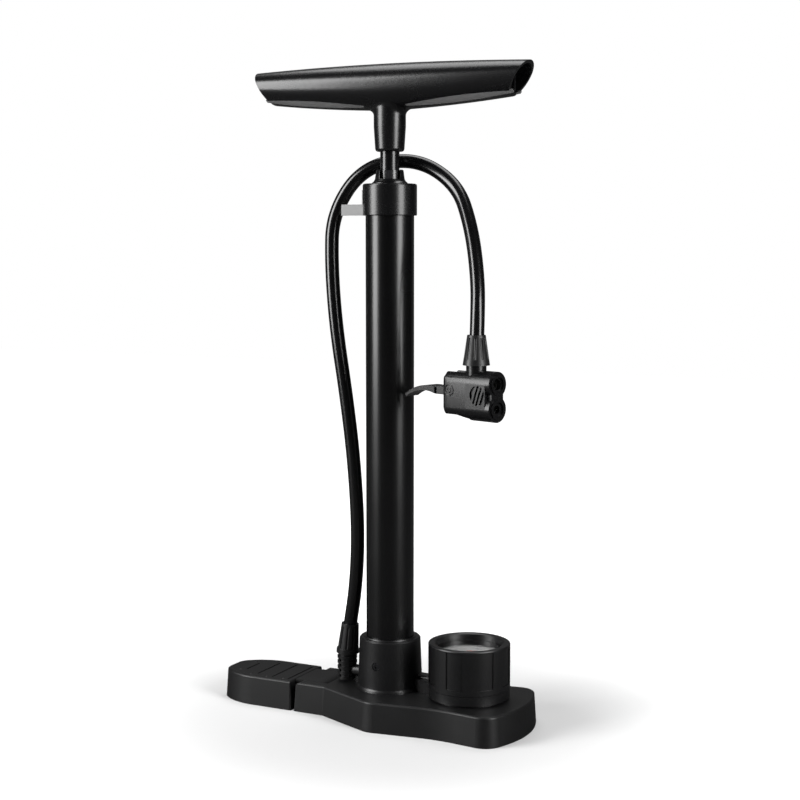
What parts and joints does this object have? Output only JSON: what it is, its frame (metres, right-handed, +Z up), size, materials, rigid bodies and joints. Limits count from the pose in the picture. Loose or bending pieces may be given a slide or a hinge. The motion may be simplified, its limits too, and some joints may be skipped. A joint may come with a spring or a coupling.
{
  "type": "floor bike pump",
  "caption": "Upright floor pump for tyres: barrel on a ribbed base with fold-up foot pedal and gauge, T-handle, and a hose with a twin-port lever valve head.",
  "frame": {"origin": "on the barrel's axis at floor level, under the base plate", "axes": "+X along the base from the foot pedal to the gauge, -Y towards the side the valve head hangs on, +Z up along the barrel"},
  "size_m": [0.2692, 0.1006, 0.5164],
  "materials": {
    "black_moulding": "satin injection moulding",
    "black_enamel": "semi-gloss black coat",
    "black_steel": "black oxide",
    "steel": "zinc plated",
    "white_plastic": "natural nylon",
    "pale_bush": "acetal",
    "rubber": "matte rubber",
    "hose_rubber": "glossy rubber",
    "clear_lens": "clear polycarbonate",
    "dial_face": "printed dial",
    "brass": "turned brass",
    "grey_grip": "fine stipple",
    "needle_red": "painted"
  },
  "bodies": {
    "root": {"base_plate": "black_moulding", "pedal_hinge_pin": "steel", "barrel_socket": "black_moulding", "socket_screws": "black_steel", "base_screws": "steel", "gauge_screws": "steel", "barrel_tube": "black_enamel", "foot_valve_seat": "white_plastic", "seat_ring": "rubber", "valve_spring": "steel", "barrel_cap": "black_moulding", "rod_bush": "pale_bush", "rod_gland": "black_moulding", "hose_clip": "black_moulding", "gauge_body": "black_moulding", "gauge_cover": "black_moulding", "gauge_lens": "clear_lens", "gauge_dial": "dial_face", "pressure_coil": "brass", "hose": "hose_rubber", "strain_relief": "rubber", "lower_boot": "rubber", "head_body": "black_moulding", "head_boot": "rubber", "port_retainer": "black_moulding", "port_seals": "rubber", "lever_pin": "steel"},
    "foot_pedal": {"foot_pedal": "black_moulding"},
    "check_valve": {"valve_poppet": "brass"},
    "piston": {"piston_head": "white_plastic", "piston_seal": "rubber"},
    "handle_assembly": {"piston_rod": "black_enamel", "piston_washer": "steel", "piston_nut": "steel", "handle_body": "black_moulding", "grip_strips": "grey_grip", "handle_screw": "black_steel"},
    "gauge_pointer": {"gauge_spindle": "brass", "gauge_needle": "needle_red"},
    "valve_lever": {"valve_lever": "black_moulding"},
    "clamp_plunger": {"clamp_plunger": "white_plastic"}
  },
  "joints": [
    {"name": "piston_stroke", "type": "slide", "parent": "root", "child": "piston", "axis": [0, 0, 1], "range_m": [0, 0.33]},
    {"name": "handle_turn", "type": "hinge", "parent": "piston", "child": "handle_assembly", "pos_m": [0, 0, 0.45], "axis": [0, 0, 1], "continuous": true},
    {"name": "pedal_fold", "type": "hinge", "parent": "root", "child": "foot_pedal", "pos_m": [-0.058, 0, 0.014], "axis": [0, 1, 0], "range_deg": [0, 90]},
    {"name": "check_valve_lift", "type": "slide", "parent": "root", "child": "check_valve", "axis": [0, 0, -1], "range_m": [0, 0.0012], "stiffness_N_per_m": 150, "springref_m": -0.001, "deforming": ["valve_spring"]},
    {"name": "gauge_sweep", "type": "hinge", "parent": "root", "child": "gauge_pointer", "pos_m": [0.0697, 0, 0.05], "axis": [0, 0, -1], "range_deg": [0, 270]},
    {"name": "lever_swing", "type": "hinge", "parent": "root", "child": "valve_lever", "pos_m": [0.07261, -0.02918, 0.2693], "axis": [-0.309, -0.9511, 0], "range_deg": [0, 88]},
    {"name": "plunger_travel", "type": "slide", "parent": "root", "child": "clamp_plunger", "axis": [0.9511, -0.309, 0], "range_m": [0, 0.0015]}
  ],
  "couplings": [
    {"joint": "plunger_travel", "follows": "lever_swing", "m_per_rad": 0.00081386}
  ]
}
